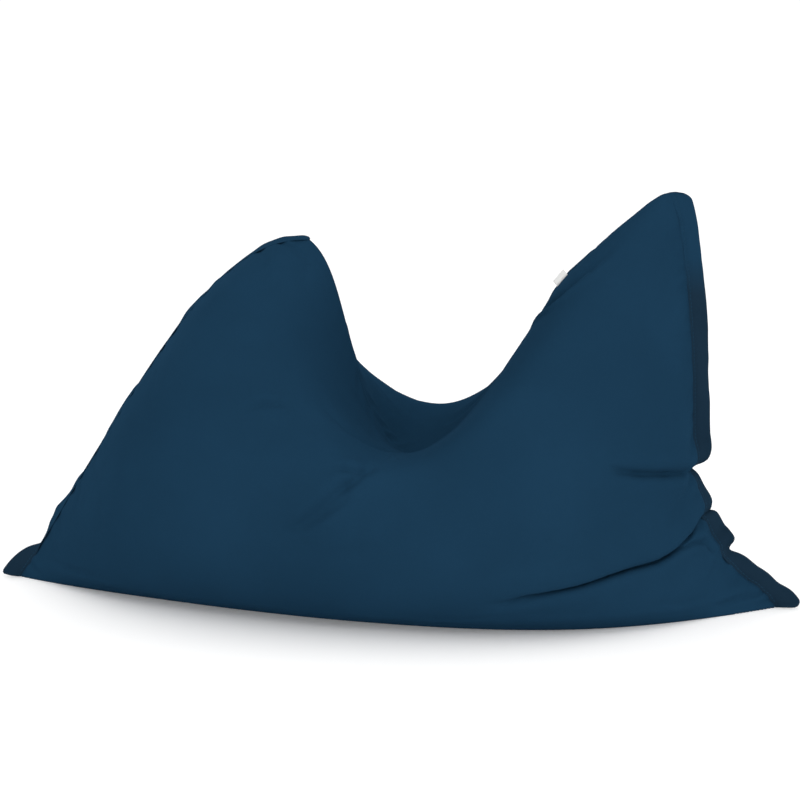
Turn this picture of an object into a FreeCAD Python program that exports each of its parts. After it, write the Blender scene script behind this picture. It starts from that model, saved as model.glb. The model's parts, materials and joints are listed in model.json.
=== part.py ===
import FreeCAD, Part
import math
import os
from FreeCAD import Vector

# Bean bag chair: a large two-panel pillow bag stood on one long edge, with the seat pressed into
# the opposite edge. Millimetres. X runs along the bag, -Y is the front, +Z is up, and the origin
# is on the floor under the middle of the bag. All seams round the edge lie in the plane Y = 0.

# ---- fabric layers ----
seam_half_gap = 0.5        # half the gap between front and back panels at the edge seam
cover_wall = 1.8           # outer fabric with its seam allowance
liner_depth = 9.5          # liner's outer face, in from the cover's outer face
liner_wall = 1.6
filling_depth = 18.0       # bead filling's face, in from the cover's outer face
liner_lift = 4.0           # liner's underside above the floor
filling_lift = 8.0         # bead filling's underside above the floor
corner_pull = 2.6          # a layer's floor corner draws in by this many times its depth
shallowest_seam_sine = 0.5 # limits how far a layer draws back from the edge seam
shallowest_foot_sine = 0.4 # limits how far a layer draws back from the floor line
least_foot_pull = 0.2      # share of its depth that a layer draws back from the floor line
corner_rise = 1.5          # a layer's corner clears the floor by this many times its depth
edge_margin = 0.02         # panel normals are taken this far inside the parameter range

# ---- hem flanges on the two short sides ----
flange_width = 27.0
flange_gap = 0.4
flange_thickness = 3.0

# ---- back belly, round in plan about a vertical axis ----
belly_axis_y = -494.0
belt_turn = math.radians(10.8)
foot_radius = 694.0
low_radius = 760.0
belly_radius = 817.0
low_height = 16.0
belly_height = 96.0

# ---- zips: lengths run along the belly, depths are from the panel's outer face ----
zip_length = 560.0
liner_zip_length = 420.0
window_half_height = 7.0
tape_outer = -4.0
tape_inner = -5.0
tape_height = 14.0
tape_overrun = 8.0         # tape beyond each end of the window
window_reach = 30.0        # depth of the cut that opens a window
chain_half_gap = 0.8
coil_height = 3.0
coil_outer = -1.2
coil_pitch = 7.0
coil_cut = 1.0
stop_length = 4.0
stop_setback = 8.0
slider_length = 13.0
slider_half_height = 5.0
slider_clearance = 0.4
slider_corner = 1.2
plate_thickness = 1.4
post_half_height = 0.45
post_length = 3.5
post_setback = 0.5
rim_thickness = 0.8
weld = 0.2                 # overlap where pieces of one casting meet
clear_through = 4.0        # length of a cut that passes right through the small metal pieces
bail_half_length = 4.0
bail_clearance = 0.3
bail_bar = 1.0
bail_half_height = 0.8
pull_bar_radius = 0.6
pull_length = 27.0
pull_half_height = 4.0
pull_slot_length = 6.0
pull_slot_half_height = 1.4
pull_corner = 2.5
grip_hole_radius = 2.2
grip_hole_setback = 5.0
garage_length = 24.0
garage_half_height = 10.0
garage_gap = 1.0           # from the stops to the patch, along the belly
garage_inner = 0.3
garage_outer = 1.1
seam_slit = 0.8            # gap between the back panel and the hem below the zip

# ---- labels ----
label_width = 25.0
label_reach = 17.0
label_thickness = 0.7
label_seam_x = 283.0
care_label_width = 30.0
care_label_height = 23.0
care_label_x = -120.0      # its edge nearest the middle, along the belly
care_label_inner = -7.4
care_label_outer = -6.8

# Pole net of the front panel. Each column runs from the floor line up to the edge seam:
# foot, low, belly, flank, shoulder, crest, seam. Each pole is (x, distance from seam plane, z).
front_columns = [
    [(-632, 0, 0), (-608, 0, 34), (-546, 0, 136), (-442, 0, 300), (-310, 0, 498),
     (-196, 0, 582), (-130, 0, 580)],
    [(-562, 35, 0), (-552, 70, 22), (-505, 122, 122), (-422, 132, 292), (-305, 112, 482),
     (-197, 60, 591), (-105, 0, 560)],
    [(-450, 78, 0), (-445, 140, 20), (-422, 208, 114), (-358, 228, 272), (-268, 200, 432),
     (-180, 125, 560), (-80, 0, 490)],
    [(-300, 125, 0), (-300, 195, 18), (-290, 266, 108), (-250, 282, 240), (-195, 252, 362),
     (-135, 195, 450), (-55, 0, 380)],
    [(-140, 168, 0), (-140, 240, 16), (-135, 303, 104), (-115, 322, 205), (-85, 297, 288),
     (-60, 235, 345), (-20, 0, 270)],
    [(20, 195, 0), (20, 262, 16), (20, 318, 102), (25, 332, 180), (30, 306, 238),
     (35, 245, 275), (45, 0, 205)],
    [(170, 205, 0), (170, 266, 16), (175, 320, 104), (170, 325, 205), (160, 292, 287),
     (150, 230, 330), (130, 0, 275)],
    [(300, 190, 0), (305, 245, 18), (308, 285, 108), (290, 275, 240), (260, 235, 377),
     (230, 170, 455), (200, 0, 395)],
    [(430, 145, 0), (430, 190, 22), (412, 215, 118), (380, 200, 290), (347, 150, 470),
     (312, 95, 565), (280, 0, 520)],
    [(550, 65, 0), (528, 105, 30), (478, 120, 140), (456, 100, 340), (430, 70, 540),
     (402, 40, 635), (373, 0, 612)],
    [(630, 0, 0), (568, 0, 66), (486, 0, 176), (492, 0, 345), (478, 0, 520),
     (463, 0, 626), (446, 0, 654)],
]

# Where the round belly rows of the back panel meet each column: turn about the belly axis in
# belt steps, then the flank pole's x and z
back_belts = {
    2: (-3, -385, 250), 3: (-2, -278, 222), 4: (-1, -140, 205), 5: (0, 2, 192),
    6: (1, 146, 204), 7: (2, 282, 222), 8: (3, 390, 258),
}

slider_face = coil_outer + slider_clearance + plate_thickness
pull_axis_depth = slider_face + bail_clearance + pull_bar_radius

degree = 3
top_row = len(front_columns[0]) - 1
last_column = len(front_columns) - 1


# ---- panel surfaces ----

def belt_point(radius, turn, z):
    """Pole on the round part of the back belly, as (x, distance from seam plane, z)."""
    return (radius * math.sin(turn), belly_axis_y + radius * math.cos(turn), z)


def make_back_columns():
    columns = [list(column) for column in front_columns]
    for i, (step, flank_x, flank_z) in back_belts.items():
        turn = step * belt_turn
        flank_turn = math.asin(flank_x / belly_radius)
        columns[i][0] = belt_point(foot_radius, turn, 0)
        columns[i][1] = belt_point(low_radius, turn, low_height)
        columns[i][2] = belt_point(belly_radius, turn, belly_height)
        columns[i][3] = belt_point(belly_radius, flank_turn, flank_z)
    return columns


def place_columns(columns, side):
    """Poles in the row frame: side is -1 for the front half and 1 for the back half."""
    return [[Vector(x, side * (seam_half_gap + depth), z) for x, depth, z in column]
            for column in columns]


def clamped_knots(count):
    spans = count - degree
    knots = [k / spans for k in range(spans + 1)]
    mults = [degree + 1] + [1] * (spans - 1) + [degree + 1]
    return knots, mults


def make_surface(poles):
    u_knots, u_mults = clamped_knots(len(poles))
    v_knots, v_mults = clamped_knots(len(poles[0]))
    surface = Part.BSplineSurface()
    surface.buildFromPolesMultsKnots(poles, u_mults, v_mults, u_knots, v_knots,
                                     False, False, degree, degree)
    return surface


def pole_parameters(count):
    """The parameter at which each pole pulls hardest, kept just inside the edges."""
    knots, mults = clamped_knots(count)
    full = [k for k, m in zip(knots, mults) for _ in range(m)]
    inner = [sum(full[i + 1:i + 1 + degree]) / degree for i in range(count)]
    return [min(max(value, edge_margin), 1 - edge_margin) for value in inner]


def edge_normals(poles, side):
    """Outward unit normal of the panel near each pole."""
    surface = make_surface(poles)
    us = pole_parameters(len(poles))
    vs = pole_parameters(len(poles[0]))
    middle = surface.normal(0.5, 0.4)
    flip = 1 if middle.y * side > 0 else -1
    return [[surface.normal(u, v) * flip for v in vs] for u in us]


def seam_pull(normal, depth):
    """How far a layer draws back from the edge seam, in the seam plane."""
    sine = max(math.hypot(normal.x, normal.z), shallowest_seam_sine)
    flat = Vector(normal.x, 0, normal.z)
    flat.normalize()
    return flat * (-depth / sine)


def corner_seam_pull(first, second):
    """Draw-back of a corner pole between two stretches of edge seam."""
    a = Vector(first)
    b = Vector(second)
    a.normalize()
    b.normalize()
    reach = (first.Length + second.Length) / 2
    return (a + b) * (reach / (1 + a.dot(b)))


def foot_pull(normal, depth, lift):
    """How far a layer draws back from the floor line, in the horizontal plane."""
    sine = max(math.hypot(normal.x, normal.y), shallowest_foot_sine)
    flat = Vector(normal.x, normal.y, 0)
    flat.normalize()
    reach = max(depth + normal.z * lift, least_foot_pull * depth) / sine
    return flat * -reach


def inset_poles(poles, side, depth, lift):
    """Pole net of a layer that lies depth inside the panel, with its underside at lift."""
    normals = edge_normals(poles, side)
    inner = [[p - n * depth for p, n in zip(column, row)]
             for column, row in zip(poles, normals)]
    for j in range(1, top_row):
        for i in (0, last_column):
            inner[i][j] = poles[i][j] + seam_pull(normals[i][j], depth)
    for i in range(1, last_column):
        inner[i][top_row] = poles[i][top_row] + seam_pull(normals[i][top_row], depth)
        foot = poles[i][0] + foot_pull(normals[i][0], depth, lift)
        inner[i][0] = Vector(foot.x, foot.y, lift)
    for i, beside, inward in ((0, 1, 1), (last_column, last_column - 1, -1)):
        along_side = seam_pull(normals[i][top_row - 1], depth)
        along_top = seam_pull(normals[beside][top_row], depth)
        inner[i][top_row] = poles[i][top_row] + corner_seam_pull(along_side, along_top)
        corner = poles[i][0]
        inner[i][0] = Vector(corner.x + inward * corner_pull * depth, corner.y, lift)
        inner[i][1] = Vector(inner[i][1].x, corner.y,
                             max(inner[i][1].z, lift + corner_rise * depth))
    return inner


# ---- solids from panels ----

def panel_parts(poles):
    """The curved face, its underside face and its closed wire in the seam plane."""
    face = make_surface(poles).toShape()
    left_foot = poles[0][0]
    right_foot = poles[last_column][0]
    floor_line = Part.LineSegment(left_foot, right_foot).toShape()
    seam_y = left_foot.y
    seam_edges = []
    foot_edges = []
    for edge in face.Edges:
        box = edge.BoundBox
        in_seam = abs(box.YMin - seam_y) < 1e-4 and abs(box.YMax - seam_y) < 1e-4
        (seam_edges if in_seam else foot_edges).append(edge)
    seam_wire = Part.Wire(Part.__sortEdges__(seam_edges + [floor_line]))
    foot_wire = Part.Wire(Part.__sortEdges__(foot_edges + [floor_line]))
    return face, Part.Face(foot_wire), seam_wire


def closed_solid(faces):
    shell = Part.makeShell(faces)
    shell.sewShape()
    solid = Part.makeSolid(Part.Shell(shell.Faces))
    if solid.Volume < 0:
        solid.reverse()
    return solid


def wall_solid(outer, inner):
    """A fabric half shell between two pole nets, open on the side towards the other half."""
    outer_face, outer_base, outer_wire = panel_parts(outer)
    inner_face, inner_base, inner_wire = panel_parts(inner)
    ring = Part.makeFace([outer_wire, inner_wire], "Part::FaceMakerBullseye")
    return closed_solid([outer_face, outer_base, inner_face, inner_base] + ring.Faces)


def full_solid(front, back):
    """One closed solid between a front and a back pole net, whose seam poles coincide."""
    front_face, front_base, _ = panel_parts(front)
    back_face, back_base, _ = panel_parts(back)
    return closed_solid([front_face, front_base, back_face, back_base])


def join_seam_poles(front, back):
    """Moves the edge seam poles of two nets to their middle, on the plane Y = 0."""
    seam_places = [(i, j) for i in (0, last_column) for j in range(top_row + 1)]
    seam_places += [(i, top_row) for i in range(1, last_column)]
    for i, j in seam_places:
        middle = (front[i][j] + back[i][j]) * 0.5
        middle.y = 0
        front[i][j] = middle
        back[i][j] = Vector(middle)


# ---- pieces that follow the round back belly ----

def belly_bar(radius, depths, heights, reach):
    """A bar with a rectangular section that follows the belly. depths and heights are
    (from, to) pairs, reach is the (from, to) distance along the belly, + towards +X."""
    corners = [Vector(0, belly_axis_y + radius + depth, z)
               for depth, z in ((depths[0], heights[0]), (depths[1], heights[0]),
                                (depths[1], heights[1]), (depths[0], heights[1]))]
    section = Part.Face(Part.makePolygon(corners + corners[:1]))
    axis = Vector(0, belly_axis_y, 0)
    start = math.degrees(reach[0] / radius)
    sweep = math.degrees((reach[1] - reach[0]) / radius)
    bar = section.revolve(axis, Vector(0, 0, -1), sweep)
    bar.rotate(axis, Vector(0, 0, -1), start)
    if bar.Volume < 0:
        bar.reverse()
    return bar


def block(along, depths, heights):
    """A straight block in the slider's frame: X along the chain, Y outward, Z up."""
    return Part.makeBox(along[1] - along[0], depths[1] - depths[0], heights[1] - heights[0],
                        Vector(along[0], depths[0], heights[0]))


def widest_line(surface):
    """Radius from the belly axis, and height, where the back panel's middle is widest."""
    samples = [surface.value(0.5, 0.2 + 0.3 * k / 300) for k in range(301)]
    return max((math.hypot(p.x, p.y - belly_axis_y), p.z) for p in samples)


def window_cut(radius, height, length):
    """The block that opens a zip's window in a back panel."""
    return belly_bar(radius, (-window_reach, window_reach),
                     (height - window_half_height, height + window_half_height),
                     (-length / 2, length / 2))


def coil_row(radius, height, side, half_length):
    """One row of the coil, with the gaps between its turns cut from its facing edge."""
    low = side * chain_half_gap
    high = side * (chain_half_gap + coil_height)
    heights = (height + min(low, high), height + max(low, high))
    row = belly_bar(radius, (tape_outer, coil_outer), heights, (-half_length, half_length))
    notch_count = int(2 * half_length / coil_pitch) - 1
    edge = height + low
    notch_heights = (min(edge, edge + side * coil_cut), max(edge, edge + side * coil_cut))
    first = -coil_pitch * (notch_count - 1) / 2
    notches = []
    for k in range(notch_count):
        at = first + k * coil_pitch
        notches.append(belly_bar(radius, (tape_outer + 1, coil_outer + 1),
                                 (notch_heights[0] - (side > 0), notch_heights[1] + (side < 0)),
                                 (at - coil_pitch / 4, at + coil_pitch / 4)))
    return row.cut(notches)


def tape(radius, height, side, half_length):
    low = side * chain_half_gap
    high = side * tape_height
    heights = (height + min(low, high), height + max(low, high))
    return belly_bar(radius, (tape_inner, tape_outer), heights,
                     (-half_length - tape_overrun, half_length + tape_overrun))


def slider_body():
    """Two plates joined by a post that runs between the coil rows."""
    half = slider_length / 2
    plate_low = coil_outer + slider_clearance
    plate_high = slider_face
    under_high = tape_inner - slider_clearance
    under_low = under_high - plate_thickness
    wide = (-slider_half_height, slider_half_height)
    body = block((-half, half), (plate_low, plate_high), wide)
    under = block((-half, half), (under_low, under_high), wide)
    post = block((half - post_setback - post_length, half - post_setback),
                 (under_high - weld, plate_low + weld), (-post_half_height, post_half_height))
    rim_low = tape_outer + slider_clearance
    rims = [block((-half, half), (rim_low, plate_low + weld), (low, low + rim_thickness))
            for low in (-slider_half_height, slider_half_height - rim_thickness)]
    body = body.fuse([under, post] + rims)
    corners = [e for e in body.Edges
               if abs(e.BoundBox.YLength - plate_thickness) < 1e-3
               and e.BoundBox.XLength < 1e-3 and e.BoundBox.ZLength < 1e-3]
    return body.makeFillet(slider_corner, corners)


def slider_bail():
    """The small arch on the slider that holds the pull tab."""
    top = pull_axis_depth + pull_bar_radius + bail_clearance + bail_bar
    base = slider_face - weld
    tall = (-bail_half_height, bail_half_height)
    arch = block((-bail_half_length, bail_half_length), (base, top), tall)
    inner = bail_half_length - bail_bar
    through = (-clear_through / 2, clear_through / 2)
    return arch.cut(block((-inner, inner), (base, top - bail_bar), through))


def pull_tab():
    """Pull tab lying flat along the chain, hinged on the round bar under the bail."""
    half_thick = pull_bar_radius
    tab = block((-pull_length, 0), (pull_axis_depth - half_thick, pull_axis_depth + half_thick),
                (-pull_half_height, pull_half_height))
    through = (pull_axis_depth - clear_through / 2, pull_axis_depth + clear_through / 2)
    slot = block((-pull_slot_length, 1), through, (-pull_slot_half_height, pull_slot_half_height))
    grip_hole = Part.makeCylinder(grip_hole_radius, clear_through,
                                  Vector(grip_hole_setback - pull_length, through[0], 0),
                                  Vector(0, 1, 0))
    corners = [e for e in tab.Edges if e.BoundBox.YLength > 1 and e.BoundBox.XMin < 1 - pull_length]
    tab = tab.makeFillet(pull_corner, corners).cut([slot, grip_hole])
    bar = Part.makeCylinder(pull_bar_radius, 2 * pull_half_height,
                            Vector(0, pull_axis_depth, -pull_half_height), Vector(0, 0, 1))
    return tab.fuse(bar).removeSplitter()


def to_belly(shape, radius, height, along):
    """Moves a piece from the slider's frame to its place along the belly."""
    placed = shape.copy()
    placed.translate(Vector(0, belly_axis_y + radius, height))
    placed.rotate(Vector(0, belly_axis_y, 0), Vector(0, 0, -1), math.degrees(along / radius))
    return placed


def stop_block(radius, height, along, heights):
    low, high = heights
    return belly_bar(radius, (tape_outer, coil_outer), (height + low, height + high),
                     (along - stop_length / 2, along + stop_length / 2))


def zip_parts(radius, height, length, prefix):
    """Tapes, coils and stops of one zip, and how far along it the closed slider rests."""
    half = length / 2
    chain_half = half - stop_setback - stop_length / 2
    stop_at = half - stop_setback
    rest_at = stop_at - stop_length / 2 - slider_clearance - slider_length / 2
    stop_heights = (chain_half_gap, chain_half_gap + coil_height)
    top_stops = [stop_block(radius, height, stop_at, stop_heights),
                 stop_block(radius, height, stop_at, (-stop_heights[1], -stop_heights[0]))]
    bottom = stop_block(radius, height, -stop_at, (-stop_heights[1], stop_heights[1]))
    parts = {
        prefix + "tape_upper": tape(radius, height, 1, half),
        prefix + "tape_lower": tape(radius, height, -1, half),
        prefix + "coil_upper": coil_row(radius, height, 1, chain_half),
        prefix + "coil_lower": coil_row(radius, height, -1, chain_half),
        prefix + "top_stops": Part.makeCompound(top_stops),
        prefix + "bottom_stop": bottom,
    }
    return parts, rest_at


# ---- flanges and labels ----

def band_poles(column, distance, side):
    """Seam poles of one short side moved outward in the seam plane; side is -1 at -X."""
    moved = []
    for j, pole in enumerate(column):
        before = column[max(j - 1, 0)]
        after = column[min(j + 1, top_row)]
        along = after - before
        outward = Vector(side * along.z, 0, -side * along.x)
        outward.normalize()
        if j == 0:
            outward = Vector(side, 0, 0)
        moved.append(Vector(pole.x, 0, pole.z) + outward * distance)
    return moved


def spline_edge(poles):
    knots, mults = clamped_knots(len(poles))
    curve = Part.BSplineCurve()
    curve.buildFromPolesMultsKnots(poles, mults, knots, False, degree)
    return curve.toShape()


def make_flange(column, side):
    inner = band_poles(column, flange_gap, side)
    outer = band_poles(column, flange_gap + flange_width, side)
    ends = [Part.LineSegment(inner[k], outer[k]).toShape() for k in (0, top_row)]
    wire = Part.Wire(Part.__sortEdges__([spline_edge(inner), spline_edge(outer)] + ends))
    flange = Part.Face(wire).extrude(Vector(0, flange_thickness, 0))
    flange.translate(Vector(0, -flange_thickness / 2, 0))
    return flange


def make_seam_label(poles):
    """Blank woven tab sewn into the edge seam on the ear's slope."""
    seam = spline_edge([Vector(column[top_row].x, 0, column[top_row].z) for column in poles])
    curve = seam.Curve
    at = min((k / 400 for k in range(401)), key=lambda t: abs(curve.value(t).x - label_seam_x))
    place = curve.value(at)
    slope = math.degrees(math.atan2(curve.tangent(at)[0].z, curve.tangent(at)[0].x))
    tab = Part.makeBox(label_width, label_thickness, label_reach,
                       Vector(-label_width / 2, -label_thickness / 2, 1))
    tab.rotate(Vector(0, 0, 0), Vector(0, 1, 0), -slope)
    tab.translate(place)
    return tab


# ---- build ----

front_cover = place_columns(front_columns, -1)
back_cover = place_columns(make_back_columns(), 1)
front_cover_inside = inset_poles(front_cover, -1, cover_wall, cover_wall)
back_cover_inside = inset_poles(back_cover, 1, cover_wall, cover_wall)
front_liner = inset_poles(front_cover, -1, liner_depth, liner_lift)
back_liner = inset_poles(back_cover, 1, liner_depth, liner_lift)
front_liner_inside = inset_poles(front_cover, -1, liner_depth + liner_wall, liner_lift + liner_wall)
back_liner_inside = inset_poles(back_cover, 1, liner_depth + liner_wall, liner_lift + liner_wall)
front_filling = inset_poles(front_cover, -1, filling_depth, filling_lift)
back_filling = inset_poles(back_cover, 1, filling_depth, filling_lift)
join_seam_poles(front_filling, back_filling)

belly_line_radius, zip_height = widest_line(make_surface(back_cover))
liner_line_radius, liner_zip_height = widest_line(make_surface(back_liner))

cover_back = wall_solid(back_cover, back_cover_inside)
window = window_cut(belly_line_radius, zip_height, zip_length)
slit_low = Vector(cover_back.BoundBox.XMin - 1, cover_back.BoundBox.YMin - 1,
                  zip_height - seam_slit / 2)
slit = Part.makeBox(cover_back.BoundBox.XLength + 2, cover_back.BoundBox.YLength + 2, seam_slit,
                    slit_low)
back_pieces = sorted(cover_back.cut([window, slit]).Solids, key=lambda s: s.CenterOfMass.z)

liner_back = wall_solid(back_liner, back_liner_inside)
liner_window = window_cut(liner_line_radius, liner_zip_height, liner_zip_length)

nodes = {
    "cover_front_panel": wall_solid(front_cover, front_cover_inside),
    "cover_back_hem": back_pieces[0],
    "cover_back_panel": back_pieces[1],
    "liner_front_panel": wall_solid(front_liner, front_liner_inside),
    "liner_back_panel": liner_back.cut(liner_window),
    "bead_filling": full_solid(front_filling, back_filling),
    "left_flange": make_flange(front_cover[0], -1),
    "right_flange": make_flange(front_cover[last_column], 1),
    "seam_label": make_seam_label(front_cover),
}

cover_zip, slider_rest = zip_parts(belly_line_radius, zip_height, zip_length, "zip_")
nodes.update(cover_zip)
nodes["zip_slider"] = to_belly(slider_body().fuse(slider_bail()), belly_line_radius,
                               zip_height, slider_rest)
nodes["zip_pull"] = to_belly(pull_tab(), belly_line_radius, zip_height, slider_rest)
garage_start = zip_length / 2 - stop_setback + stop_length / 2 + garage_gap
nodes["zip_garage"] = belly_bar(belly_line_radius, (garage_inner, garage_outer),
                                (zip_height - garage_half_height,
                                 zip_height + garage_half_height),
                                (garage_start, garage_start + garage_length))
nodes["care_label"] = belly_bar(belly_line_radius, (care_label_inner, care_label_outer),
                                (zip_height - tape_height - care_label_height,
                                 zip_height - tape_height),
                                (care_label_x - care_label_width, care_label_x))

liner_zip, liner_slider_rest = zip_parts(liner_line_radius, liner_zip_height,
                                         liner_zip_length, "liner_zip_")
nodes.update(liner_zip)
nodes["liner_zip_slider"] = to_belly(slider_body(), liner_line_radius, liner_zip_height,
                                     liner_slider_rest)

os.makedirs("parts", exist_ok=True)
for name, shape in nodes.items():
    shape.exportStep("parts/" + name + ".step")
    box = shape.BoundBox
    print(f"{name:22s} solids {len(shape.Solids)} valid {shape.isValid()} "
          f"volume {shape.Volume / 1000:.2f} cm3 "
          f"x {box.XMin:.1f} {box.XMax:.1f} y {box.YMin:.1f} {box.YMax:.1f} "
          f"z {box.ZMin:.1f} {box.ZMax:.1f}")
print("belly line radius", belly_line_radius, "zip height", zip_height,
      "slider travel deg", math.degrees(2 * slider_rest / belly_line_radius))
print("liner line radius", liner_line_radius, "height", liner_zip_height,
      "slider travel deg", math.degrees(2 * liner_slider_rest / liner_line_radius))
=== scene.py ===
import contextlib
import json
import math
import bmesh
import bpy
import numpy as np
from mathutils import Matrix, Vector


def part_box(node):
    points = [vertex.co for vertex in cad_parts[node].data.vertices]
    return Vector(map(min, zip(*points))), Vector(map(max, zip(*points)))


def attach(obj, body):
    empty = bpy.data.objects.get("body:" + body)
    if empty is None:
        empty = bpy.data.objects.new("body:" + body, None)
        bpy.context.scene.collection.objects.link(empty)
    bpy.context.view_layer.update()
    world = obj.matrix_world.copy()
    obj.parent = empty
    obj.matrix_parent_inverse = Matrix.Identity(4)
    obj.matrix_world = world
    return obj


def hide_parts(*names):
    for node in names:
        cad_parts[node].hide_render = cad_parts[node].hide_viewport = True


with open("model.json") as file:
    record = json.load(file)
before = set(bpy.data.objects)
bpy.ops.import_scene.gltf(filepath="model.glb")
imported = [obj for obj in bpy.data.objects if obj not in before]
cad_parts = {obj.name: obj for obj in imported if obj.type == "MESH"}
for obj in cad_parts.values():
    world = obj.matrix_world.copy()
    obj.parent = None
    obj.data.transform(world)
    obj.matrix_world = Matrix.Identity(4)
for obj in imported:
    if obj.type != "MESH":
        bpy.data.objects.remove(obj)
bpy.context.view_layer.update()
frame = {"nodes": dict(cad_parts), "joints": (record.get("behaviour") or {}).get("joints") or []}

# The looks of the pillow-type bean bag chair, in metres, in the row frame: X along the bag, -Y the
# front, +Z up, floor at Z = 0. The panels follow the same pole net as the CAD cover, and creases,
# gathers and slack are laid over it. Where a table is in millimetres its name or comment says so.

MM = 0.001
DEGREE = 3
COLUMNS = 320             # grid columns along the bag
ROWS = 224                # grid rows from the bottom seam to the top seam
COVER_WALL = 1.8 * MM
SEAM_HALF_GAP = 0.5 * MM
SEED = 7

belly_joint = next(j for j in frame["joints"] if j["name"] == "zip_travel")
liner_joint = next(j for j in frame["joints"] if j["name"] == "liner_zip_travel")
BELLY_AXIS_Y = belly_joint["pos_m"][1]


def radius_at(box):
    """Largest distance of a CAD box, centred on X = 0, from the belly axis."""
    return box[1].y - BELLY_AXIS_Y


coil_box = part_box("zip_coil_upper")
liner_coil_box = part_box("liner_zip_coil_upper")
COIL_DEPTH = 1.2 * MM                              # outer face of the coils below the cloth
BELLY_RADIUS = radius_at(coil_box) + COIL_DEPTH    # outer face of the cover at the zip
LINER_RADIUS = radius_at(liner_coil_box) + COIL_DEPTH
ZIP_HEIGHT = belly_joint["pos_m"][2]
LINER_ZIP_HEIGHT = liner_joint["pos_m"][2]
ZIP_HALF = 280 * MM
LINER_ZIP_HALF = 210 * MM
WINDOW_HALF_HEIGHT = 7 * MM
SLIT_HALF = 0.4 * MM

# ---- pole net of the cover, as in the CAD: foot, low, belly, flank, shoulder, crest, seam ----

FRONT_NET = [
    [(-632, 0, 0), (-608, 0, 34), (-546, 0, 136), (-442, 0, 300), (-310, 0, 498),
     (-196, 0, 582), (-130, 0, 580)],
    [(-562, 35, 0), (-552, 70, 22), (-505, 122, 122), (-422, 132, 292), (-305, 112, 482),
     (-197, 60, 591), (-105, 0, 560)],
    [(-450, 78, 0), (-445, 140, 20), (-422, 208, 114), (-358, 228, 272), (-268, 200, 432),
     (-180, 125, 560), (-80, 0, 490)],
    [(-300, 125, 0), (-300, 195, 18), (-290, 266, 108), (-250, 282, 240), (-195, 252, 362),
     (-135, 195, 450), (-55, 0, 380)],
    [(-140, 168, 0), (-140, 240, 16), (-135, 303, 104), (-115, 322, 205), (-85, 297, 288),
     (-60, 235, 345), (-20, 0, 270)],
    [(20, 195, 0), (20, 262, 16), (20, 318, 102), (25, 332, 180), (30, 306, 238),
     (35, 245, 275), (45, 0, 205)],
    [(170, 205, 0), (170, 266, 16), (175, 320, 104), (170, 325, 205), (160, 292, 287),
     (150, 230, 330), (130, 0, 275)],
    [(300, 190, 0), (305, 245, 18), (308, 285, 108), (290, 275, 240), (260, 235, 377),
     (230, 170, 455), (200, 0, 395)],
    [(430, 145, 0), (430, 190, 22), (412, 215, 118), (380, 200, 290), (347, 150, 470),
     (312, 95, 565), (280, 0, 520)],
    [(550, 65, 0), (528, 105, 30), (478, 120, 140), (456, 100, 340), (430, 70, 540),
     (402, 40, 635), (373, 0, 612)],
    [(630, 0, 0), (568, 0, 66), (486, 0, 176), (492, 0, 345), (478, 0, 520),
     (463, 0, 626), (446, 0, 654)],
]
BACK_BELTS = {
    2: (-3, -385, 250), 3: (-2, -278, 222), 4: (-1, -140, 205), 5: (0, 2, 192),
    6: (1, 146, 204), 7: (2, 282, 222), 8: (3, 390, 258),
}
BELT_TURN = math.radians(10.8)
BELT_ROWS = ((694, 0), (760, 16), (817, 96))   # pole radius and height: foot, low, belly


def back_net():
    net = [list(column) for column in FRONT_NET]
    axis_y = BELLY_AXIS_Y / MM
    for i, (step, flank_x, flank_z) in BACK_BELTS.items():
        for row, (radius, z) in enumerate(BELT_ROWS):
            turn = step * BELT_TURN
            net[i][row] = (radius * math.sin(turn), axis_y + radius * math.cos(turn), z)
        radius = BELT_ROWS[-1][0]
        net[i][3] = (flank_x, axis_y + math.sqrt(radius ** 2 - flank_x ** 2), flank_z)
    return net


def spline_weights(count, t):
    """Weights of a clamped uniform cubic B-spline's poles at the parameters t."""
    knots = np.r_[[0] * DEGREE, np.linspace(0, 1, count - DEGREE + 1), [1] * DEGREE]
    t = np.clip(np.asarray(t, float), 0, 1 - 1e-12)
    weights = np.zeros((len(t), len(knots) - 1))
    for i in range(len(knots) - 1):
        weights[:, i] = (knots[i] <= t) & (t < knots[i + 1])
    for d in range(1, DEGREE + 1):
        raised = np.zeros_like(weights)
        for i in range(len(knots) - 1 - d):
            left = knots[i + d] - knots[i]
            right = knots[i + d + 1] - knots[i + 1]
            if left > 0:
                raised[:, i] += (t - knots[i]) / left * weights[:, i]
            if right > 0:
                raised[:, i] += (knots[i + d + 1] - t) / right * weights[:, i + 1]
        weights = raised
    return weights[:, :count]


def run_length(curve):
    return np.r_[0, np.cumsum(np.linalg.norm(np.diff(curve, axis=0), axis=1))]


def points_at(curve, places):
    """The curve's points at distances along it."""
    run = run_length(curve)
    return np.stack([np.interp(places, run, curve[:, k]) for k in range(3)], axis=1)


def even_steps(curve, count):
    """The same curve with count + 1 points evenly spaced along its length."""
    return points_at(curve, np.linspace(0, run_length(curve)[-1], count + 1))


def from_table(table, places, unit=1.0):
    """A table's value at each place; unit is what both of its columns are in."""
    rows = np.array(table, float) * unit
    return np.interp(places, rows[:, 0], rows[:, 1])


def unit_rows(vectors):
    return vectors / np.linalg.norm(vectors, axis=1, keepdims=True)


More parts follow.
